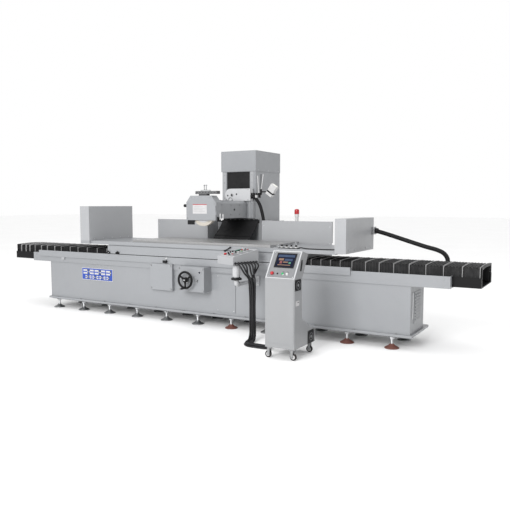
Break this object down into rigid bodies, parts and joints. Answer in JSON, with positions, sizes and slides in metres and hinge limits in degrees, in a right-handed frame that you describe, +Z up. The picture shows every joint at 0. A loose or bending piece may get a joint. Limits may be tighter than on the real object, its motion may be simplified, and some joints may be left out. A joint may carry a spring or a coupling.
{
  "type": "surface grinder",
  "caption": "Long-bed column-type surface grinder: reciprocating table with magnetic chuck, cross-feed column with grinding head, way covers, pendant and wheeled console.",
  "frame": {"origin": "middle of the machine's footprint on the floor, measured without the loose pendant cables", "axes": "+X along the table towards the operator's right, +Y from the operator to the back, +Z up"},
  "size_m": [6.424, 2.92, 2.1165],
  "materials": {
    "grey_paint": "fine semi-gloss silver-grey enamel",
    "light_paint": "light grey powder coat",
    "white_paint": "white satin enamel",
    "black_paint": "black satin paint",
    "red_oxide_paint": "dull reddish-brown paint",
    "ground_steel": "ground and scraped steel",
    "dark_iron": "dark machined iron",
    "black_rubber": "matt black rubberised cloth",
    "cable_jacket": "matt black cable jacket",
    "caster_tread": "hard dark rubber",
    "abrasive": "gritty cream-white bonded abrasive",
    "white_plastic": "white moulded plastic",
    "red_plastic": "glossy red plastic"
  },
  "bodies": {
    "machine": {"bed": "grey_paint", "feet_front": "red_oxide_paint", "feet_rear": "red_oxide_paint", "way_tray": "grey_paint", "v_way": "ground_steel", "flat_way": "ground_steel", "bellows_left": "black_rubber", "bellows_right": "black_rubber", "end_tray_left": "black_paint", "end_tray_right": "black_paint", "piston_rod": "ground_steel", "gearbox_housing": "grey_paint", "access_cover": "grey_paint", "splash_panel_left": "light_paint", "splash_panel_right": "light_paint", "signal_light": "white_plastic", "cross_base": "grey_paint", "way_apron": "black_rubber", "pendant_arm": "light_paint", "pendant_cable_1": "cable_jacket", "pendant_cable_2": "cable_jacket", "pendant_cable_3": "cable_jacket", "console_cabinet": "light_paint"},
    "table": {"table": "grey_paint", "magnetic_chuck": "ground_steel", "end_guard_left": "light_paint", "end_guard_right": "light_paint", "table_conduit": "dark_iron", "table_cylinder": "dark_iron"},
    "trip_dog": {"trip_dog": "black_paint"},
    "handwheel": {"handwheel": "black_paint"},
    "reversing_lever": {"reversing_lever": "black_paint"},
    "cross_screw": {"cross_screw": "ground_steel"},
    "column": {"saddle": "grey_paint", "column": "grey_paint", "column_cap": "grey_paint", "column_shroud": "grey_paint", "head_conduit": "black_rubber"},
    "elevating_screw": {"elevating_screw": "ground_steel"},
    "head": {"head_carriage": "grey_paint", "spindle_housing": "grey_paint", "wheel_guard": "grey_paint", "drive_cover": "white_paint", "dresser_bar": "dark_iron", "coolant_nozzle": "black_paint", "cable_bracket": "black_paint"},
    "spindle": {"spindle": "ground_steel", "grinding_wheel": "abrasive"},
    "guard_door": {"guard_door": "grey_paint"},
    "dresser": {"dresser_slide": "ground_steel"},
    "lamp": {"lamp": "white_plastic"},
    "pendant": {"pendant_box": "light_paint"},
    "pendant_estop": {"pendant_estop": "red_plastic"},
    "console_estop": {"console_estop": "red_plastic"},
    "caster_fork_left": {"caster_fork_front_left": "dark_iron"},
    "caster_fork_right": {"caster_fork_front_right": "dark_iron"},
    "caster_wheel_fl": {"caster_wheel_front_left": "caster_tread"},
    "caster_wheel_fr": {"caster_wheel_front_right": "caster_tread"},
    "caster_wheel_rl": {"caster_wheel_rear_left": "caster_tread"},
    "caster_wheel_rr": {"caster_wheel_rear_right": "caster_tread"}
  },
  "joints": [
    {"name": "table_slide", "type": "slide", "parent": "machine", "child": "table", "axis": [1, 0, 0], "range_m": [-1.1, 1.1], "deforming": ["bellows_left", "bellows_right"]},
    {"name": "trip_dog_slide", "type": "slide", "parent": "table", "child": "trip_dog", "axis": [1, 0, 0], "range_m": [-0.1, 1.1]},
    {"name": "handwheel_spin", "type": "hinge", "parent": "machine", "child": "handwheel", "pos_m": [0.045, -0.745, 0.552], "axis": [0, 1, 0], "range_deg": [-6660, 6660]},
    {"name": "reversing_lever_swing", "type": "hinge", "parent": "machine", "child": "reversing_lever", "pos_m": [-0.371, -0.566, 0.73], "axis": [0, 1, 0], "range_deg": [-25, 25]},
    {"name": "cross_feed", "type": "slide", "parent": "machine", "child": "column", "axis": [0, 1, 0], "range_m": [-0.26, 0.36], "deforming": ["way_apron"]},
    {"name": "cross_screw_spin", "type": "hinge", "parent": "machine", "child": "cross_screw", "pos_m": [-0.035, 0.77, 0.54], "axis": [0, 1, 0], "range_deg": [-4720, 6520]},
    {"name": "head_slide", "type": "slide", "parent": "column", "child": "head", "axis": [0, 0, 1], "range_m": [-0.14, 0.22], "deforming": ["head_conduit", "way_apron"]},
    {"name": "elevating_screw_spin", "type": "hinge", "parent": "column", "child": "elevating_screw", "pos_m": [-0.035, 0.72, 1.5], "axis": [0, 0, 1], "range_deg": [-2560, 4000]},
    {"name": "spindle_spin", "type": "hinge", "parent": "head", "child": "spindle", "pos_m": [-0.037, -0.239, 1.331], "axis": [0, 1, 0], "continuous": true},
    {"name": "guard_door_swing", "type": "hinge", "parent": "head", "child": "guard_door", "pos_m": [0.169, -0.289, 1.372], "axis": [0, 0, 1], "range_deg": [0, 100]},
    {"name": "dresser_traverse", "type": "slide", "parent": "head", "child": "dresser", "axis": [0, 1, 0], "range_m": [-0.02, 0.02]},
    {"name": "lamp_tilt", "type": "hinge", "parent": "head", "child": "lamp", "pos_m": [0.375, 0.492, 1.576], "axis": [1, 0, 0], "range_deg": [-40, 40]},
    {"name": "pendant_swivel", "type": "hinge", "parent": "machine", "child": "pendant", "pos_m": [0.852, -0.925, 0.7], "axis": [0, 0, 1], "range_deg": [-40, 40], "deforming": ["pendant_cable_1", "pendant_cable_2", "pendant_cable_3"]},
    {"name": "pendant_estop_press", "type": "slide", "parent": "pendant", "child": "pendant_estop", "axis": [-0.0623, -0.1712, 0.9833], "range_m": [-0.004, 0], "stiffness_N_per_m": 900, "springref_m": 0.003},
    {"name": "console_estop_press", "type": "slide", "parent": "machine", "child": "console_estop", "axis": [0, -0.8289, 0.5594], "range_m": [-0.004, 0], "stiffness_N_per_m": 900, "springref_m": 0.003},
    {"name": "caster_swivel_left", "type": "hinge", "parent": "machine", "child": "caster_fork_left", "pos_m": [1.528, -1.416, 0.09], "axis": [0, 0, 1], "continuous": true},
    {"name": "caster_swivel_right", "type": "hinge", "parent": "machine", "child": "caster_fork_right", "pos_m": [1.75, -1.416, 0.09], "axis": [0, 0, 1], "continuous": true},
    {"name": "caster_roll_front_left", "type": "hinge", "parent": "caster_fork_left", "child": "caster_wheel_fl", "pos_m": [1.51, -1.416, 0.032], "axis": [0, 1, 0], "continuous": true},
    {"name": "caster_roll_front_right", "type": "hinge", "parent": "caster_fork_right", "child": "caster_wheel_fr", "pos_m": [1.768, -1.416, 0.032], "axis": [0, 1, 0], "continuous": true},
    {"name": "caster_roll_rear_left", "type": "hinge", "parent": "machine", "child": "caster_wheel_rl", "pos_m": [1.538, -1.05, 0.032], "axis": [0, 1, 0], "continuous": true},
    {"name": "caster_roll_rear_right", "type": "hinge", "parent": "machine", "child": "caster_wheel_rr", "pos_m": [1.758, -1.05, 0.032], "axis": [0, 1, 0], "continuous": true}
  ],
  "couplings": [
    {"joint": "handwheel_spin", "follows": "table_slide", "rad_per_m": 104.72},
    {"joint": "cross_screw_spin", "follows": "cross_feed", "rad_per_m": 314.16},
    {"joint": "elevating_screw_spin", "follows": "head_slide", "rad_per_m": 314.16}
  ]
}
